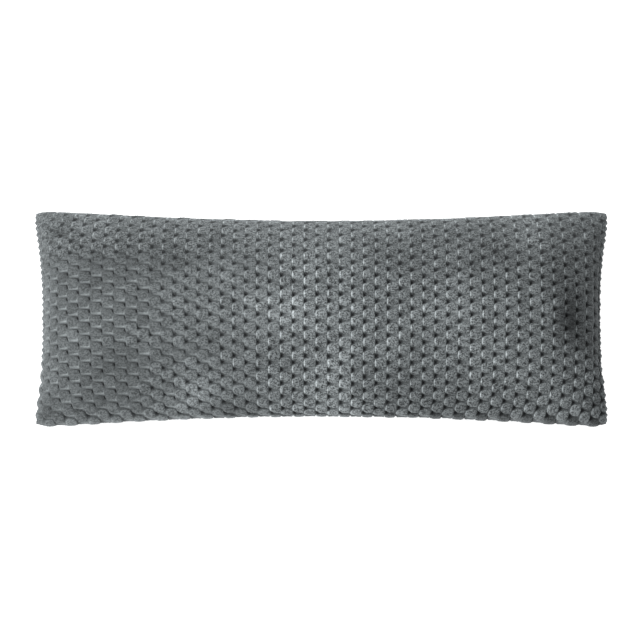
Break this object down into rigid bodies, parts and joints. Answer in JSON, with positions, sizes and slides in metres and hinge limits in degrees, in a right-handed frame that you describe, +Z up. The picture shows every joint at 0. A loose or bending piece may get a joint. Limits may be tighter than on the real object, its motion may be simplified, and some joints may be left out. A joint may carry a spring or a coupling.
{
  "type": "body pillow",
  "caption": "Long filled body pillow in short plush worked into a honeycomb of raised tufts, lying on its back, with a crowned top, drawn-in sides and thin corners.",
  "frame": {"origin": "on the floor, under the middle of the pillow", "axes": "+X along the pillow, +Y across it, +Z up through its crown"},
  "size_m": [1.3412, 0.5186, 0.18],
  "materials": {
    "plush": "matte short-pile plush in mid grey"
  },
  "bodies": {
    "root": {"pillow": "plush"}
  },
  "joints": []
}
